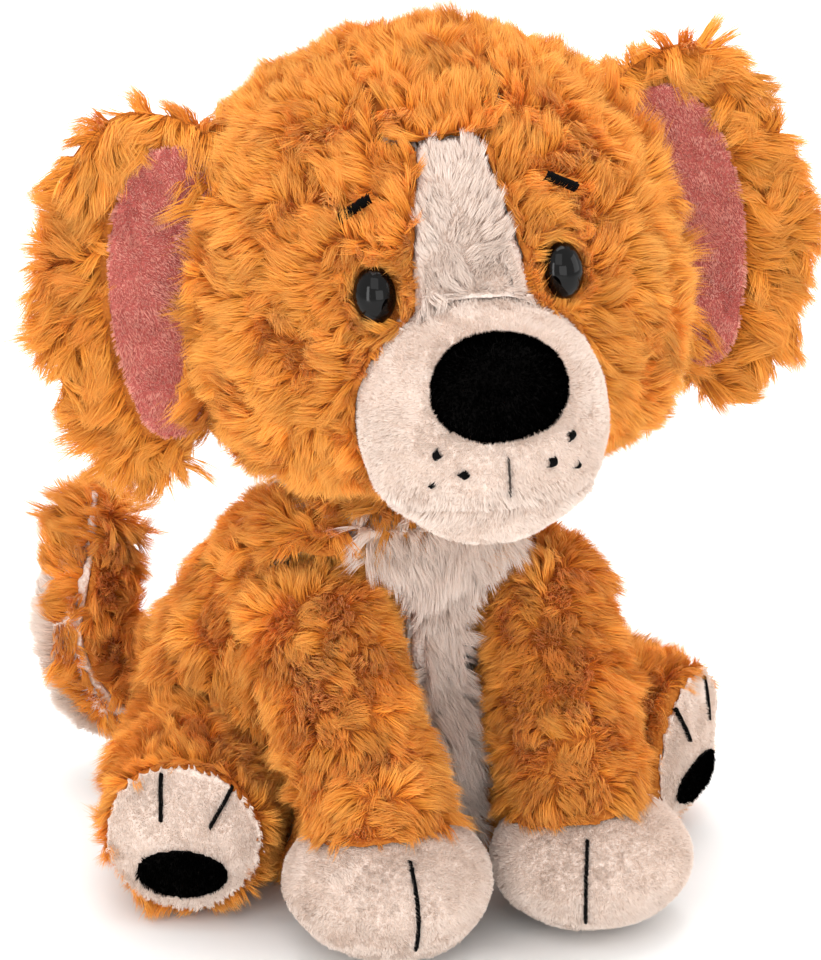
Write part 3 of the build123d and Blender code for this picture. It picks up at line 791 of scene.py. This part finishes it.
# an ear's lining is set in the front of its back, and both are bent alike
for index, side in enumerate(SIDES):
    joint = ear_joints[side]
    lining_name, back_name = f"{side}_ear_lining", f"{side}_ear_back"
    axis = unit(np.array(joint["axis"]))
    points, triangles = remeshed(lining_name, 1.2)
    flat = points - points.mean(0)
    front = np.linalg.svd(flat[::7], full_matrices=False)[2][2]
    front *= -np.sign(front[1])
    outwards = unit(np.cross(axis, front))
    outwards *= np.sign((middle(lining_name) - head_middle) @ outwards)

    facing = unit(face_vectors(points, triangles)) @ front
    out = (points - np.array(joint["pos_m"]) * 1000) @ outwards
    low = points @ axis - (points @ axis).mean()
    # the lining is drawn a little wider, taller and nearer to the head than it was cut
    points = points + (0.14 * out - LINING_INWARDS)[:, None] * outwards
    points += (0.10 * low)[:, None] * axis
    lining_tree = BVHTree.FromPolygons(points.tolist(), triangles.tolist())
    hung = bent_ear(points, joint, outwards, front)
    lining = Cover(lining_name, hung, triangles, facing > -0.2, LINING_WALL)
    lining.cloth(0.2)
    grow(lining, comb_down, seed=70 + index, **{**SHORT, "length": 1.6, "per_mm2": 5.0})

    points, triangles = remeshed(back_name, 1.6)
    centres = points[triangles].mean(1)
    gaps = np.array([lining_tree.find_nearest(Vector(c))[3] for c in centres])
    facing = unit(face_vectors(points, triangles)) @ front
    hung = bent_ear(points, joint, outwards, front)
    back = Cover(back_name, hung, triangles, (gaps > LINING_WALL) | (facing < 0.3), EAR_PILE)
    back.cloth(0.3)
    grow(back, comb_along(outwards * 0.8, 0.9), seed=75 + index,
         **{**LONG, "length": 12.0, "lean": (30, 80)})


# ---------------------------------------------------------------- embroidery
ROWS, ROUND = 7, 6  # points along a thread and round it
SLANT = 0.35  # how far a thread leans along its line, in millimetres
RISE, DIP = 0.55, 0.9  # how far its middle stands up, and its ends go down into the pile


def satin(name, anchor, width, lift, seed, spacing=0.42, thick=0.30, split=None, trim=0.3):
    """Satin stitch in place of a flat CAD strip: threads laid side by side across its line, each
    a rounded strand that dips into the pile at both ends. anchor is inside the ball that the
    strip lies on, and split parts a node's points into its separate strips."""
    random = np.random.default_rng(seed)
    points, triangles = read_mesh(name)
    tree = BVHTree.FromPolygons(points.tolist(), triangles.tolist())
    groups = split(points) if split else [points]
    all_points, all_faces, base = [], [], 0
    for group in groups:
        centre = group.mean(0)
        axes = np.linalg.svd(group - centre, full_matrices=False)[2]
        along = (group - centre) @ axes[0]
        low, high = along.min(), along.max()
        ball = np.linalg.norm(group - anchor, axis=1).mean()
        count = max(3, int((high - low) / spacing))
        straight = centre + np.linspace(low + trim, high - trim, count)[:, None] * axes[0]
        ups = unit(straight - anchor)
        line = anchor + ups * ball
        for index, up in enumerate(ups):
            hit = tree.ray_cast(Vector(anchor + up * 3 * ball), Vector(-up))[0]
            line[index] = line[index] if hit is None else np.array(hit)
        line += ups * lift
        forward = unit(np.gradient(line, axis=0))
        across = unit(np.cross(ups, forward))
        shares = np.linspace(-1, 1, ROWS)
        ring = np.arange(ROUND) * 2 * pi / ROUND
        wide = width / 2 * random.uniform(0.86, 1.1, count)
        shift = 0.08 * random.normal(size=count)
        tubes = np.empty((count, ROWS, ROUND, 3))
        for i, share in enumerate(shares):
            middle_line = (
                line + across * (share * wide + shift)[:, None] + forward * (share * SLANT)
                + ups * (RISE * (1 - share**2) - DIP * abs(share) ** 6)
            )
            for k, turn in enumerate(ring):
                tubes[:, i, k] = middle_line + thick * (
                    forward * cos(turn) * 0.8 + ups * sin(turn) * (1 - 0.3 * abs(share))
                )
        first = base + (np.arange(count) * ROWS * ROUND)[:, None, None, None]
        i, k = np.arange(ROWS - 1)[:, None] * ROUND, np.arange(ROUND)[None, :]
        after = (k + 1) % ROUND
        quads = np.stack((i + k, i + after, i + ROUND + after, i + ROUND + k), axis=-1)
        all_faces.append((first + quads[None]).reshape(-1, 4))
        all_points.append(tubes.reshape(-1, 3))
        base += count * ROWS * ROUND
    points = np.concatenate(all_points)
    points[:, 2] = np.maximum(points[:, 2], FLOOR_GAP)
    made = write_mesh(f"{name}_satin", points, [np.concatenate(all_faces)])
    made.data.materials.append(BLACK_THREAD)
    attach(made, body_of[name])
    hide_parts(name)


def clusters(reach):
    """Parts points into groups that lie further apart than this."""
    def split(points):
        left, groups = np.arange(len(points)), []
        while len(left):
            group = np.zeros(len(left), bool)
            group[0] = True
            while True:
                tree = tree_of(points[left[group]])
                grown = np.array([tree.find(p)[2] < reach for p in points[left]])
                if grown.sum() == group.sum():
                    break
                group = grown
            groups.append(points[left[group]])
            left = left[~group]
        return groups
    return split


for side in SIDES:
    hip = middle(f"{side}_hind_leg_stuffing")
    satin(f"{side}_paw_toe_line", middle(f"{side}_paw"), 1.3, -1.2, 80)
    satin(f"{side}_sole_toe_lines", hip, 1.3, -1.2, 81, split=clusters(4.0))
    satin(f"{side}_brow", head_middle, 3.2, 1.2, 82)
satin("mouth_stitch", muzzle_middle, 0.6, -1.5, 83, spacing=0.5, thick=0.22)
satin("whisker_dots", muzzle_middle, 2.7, -1.3, 84, spacing=0.4, split=clusters(2.5), trim=0.7)

# ---------------------------------------------------------------- CAD pieces that show as they are
for name, shown in nodes.items():
    if shown.hide_render:
        continue
    if "stuffing" in name:
        finish = FIBREFILL
    elif "eye" in name:
        finish = WASHER_PLASTIC if "washer" in name else EYE_PLASTIC
    elif name == "pellet_bag":
        finish = PELLET_CLOTH
    elif slot_of[name] in BACKINGS:
        finish = BACKINGS[slot_of[name]]
    else:
        finish = BLACK_THREAD
    shown.data.materials.clear()
    shown.data.materials.append(finish)

# ---------------------------------------------------------------- floor, light and camera
def stage_plane(name, size, place, finish):
    half = size / 2
    corners = np.array([(-half, -half, 0), (half, -half, 0), (half, half, 0), (-half, half, 0)])
    made = write_mesh(name, corners + np.array(place), [np.array([[0, 1, 2, 3]])], smooth=False)
    made.data.materials.append(finish)


studio, tree = new_material("studio_paper")
paper = node(tree, "ShaderNodeBsdfPrincipled", {"Base Color": paint("#FBFBFA"), "Roughness": 0.9})
node(tree, "ShaderNodeOutputMaterial", links={"Surface": paper.outputs["BSDF"]})
stage_plane("floor", 9000.0, (0, 0, -0.2), studio)

world = bpy.data.worlds.new("studio_room")
bpy.context.scene.world = world
world.use_nodes = True
world.node_tree.nodes["Background"].inputs["Color"].default_value = paint("#FFFFFF")
world.node_tree.nodes["Background"].inputs["Strength"].default_value = 1.0


def softbox(name, place, aim, width, height, power):
    light = bpy.data.lights.new(name, "AREA")
    light.shape = "RECTANGLE"
    light.size, light.size_y, light.energy = width * MM, height * MM, power
    made = bpy.data.objects.new(name, light)
    bpy.context.scene.collection.objects.link(made)
    made.location = Vector(place) * MM
    made.rotation_mode = "QUATERNION"
    made.rotation_quaternion = (Vector(aim) - Vector(place)).to_track_quat("-Z", "Y")


softbox("key_softbox", (-700, -1200, 1300), (0, 0, 140), 1100, 1100, 5)
softbox("front_softbox", (-250, -1500, 380), (0, 0, 100), 900, 600, 3.5)
softbox("fill_softbox", (1300, -800, 600), (0, 0, 140), 900, 900, 4)
softbox("top_softbox", (0, 100, 1500), (0, 0, 140), 1000, 1000, 10)
softbox("back_softbox", (500, 1300, 800), (0, 0, 140), 1100, 1000, 8)
softbox("window_softbox", (-1150, -700, 230), (0, 0, 200), 260, 1100, 5)

view_azimuth, view_elevation, view_distance = radians(-25), radians(18), 1300.0
towards = Vector((
    sin(view_azimuth) * cos(view_elevation), -cos(view_azimuth) * cos(view_elevation),
    sin(view_elevation),
))
camera = bpy.data.objects.new("camera", bpy.data.cameras.new("camera"))
bpy.context.scene.collection.objects.link(camera)
camera.rotation_mode = "QUATERNION"
camera.rotation_quaternion = (-towards).to_track_quat("-Z", "Y")
camera_right = camera.rotation_quaternion @ Vector((1, 0, 0))
camera_up = camera.rotation_quaternion @ Vector((0, 1, 0))
target = Vector((0, -20, 140)) + camera_right * 4.3 - camera_up * 6.7
camera.location = (target + towards * view_distance) * MM
camera.data.sensor_fit = "AUTO"
camera.data.sensor_width = 36.0
camera.data.lens = 147.7
camera.data.clip_start, camera.data.clip_end = 0.05, 20.0
bpy.context.scene.camera = camera
bpy.context.scene.view_settings.view_transform = "Standard"
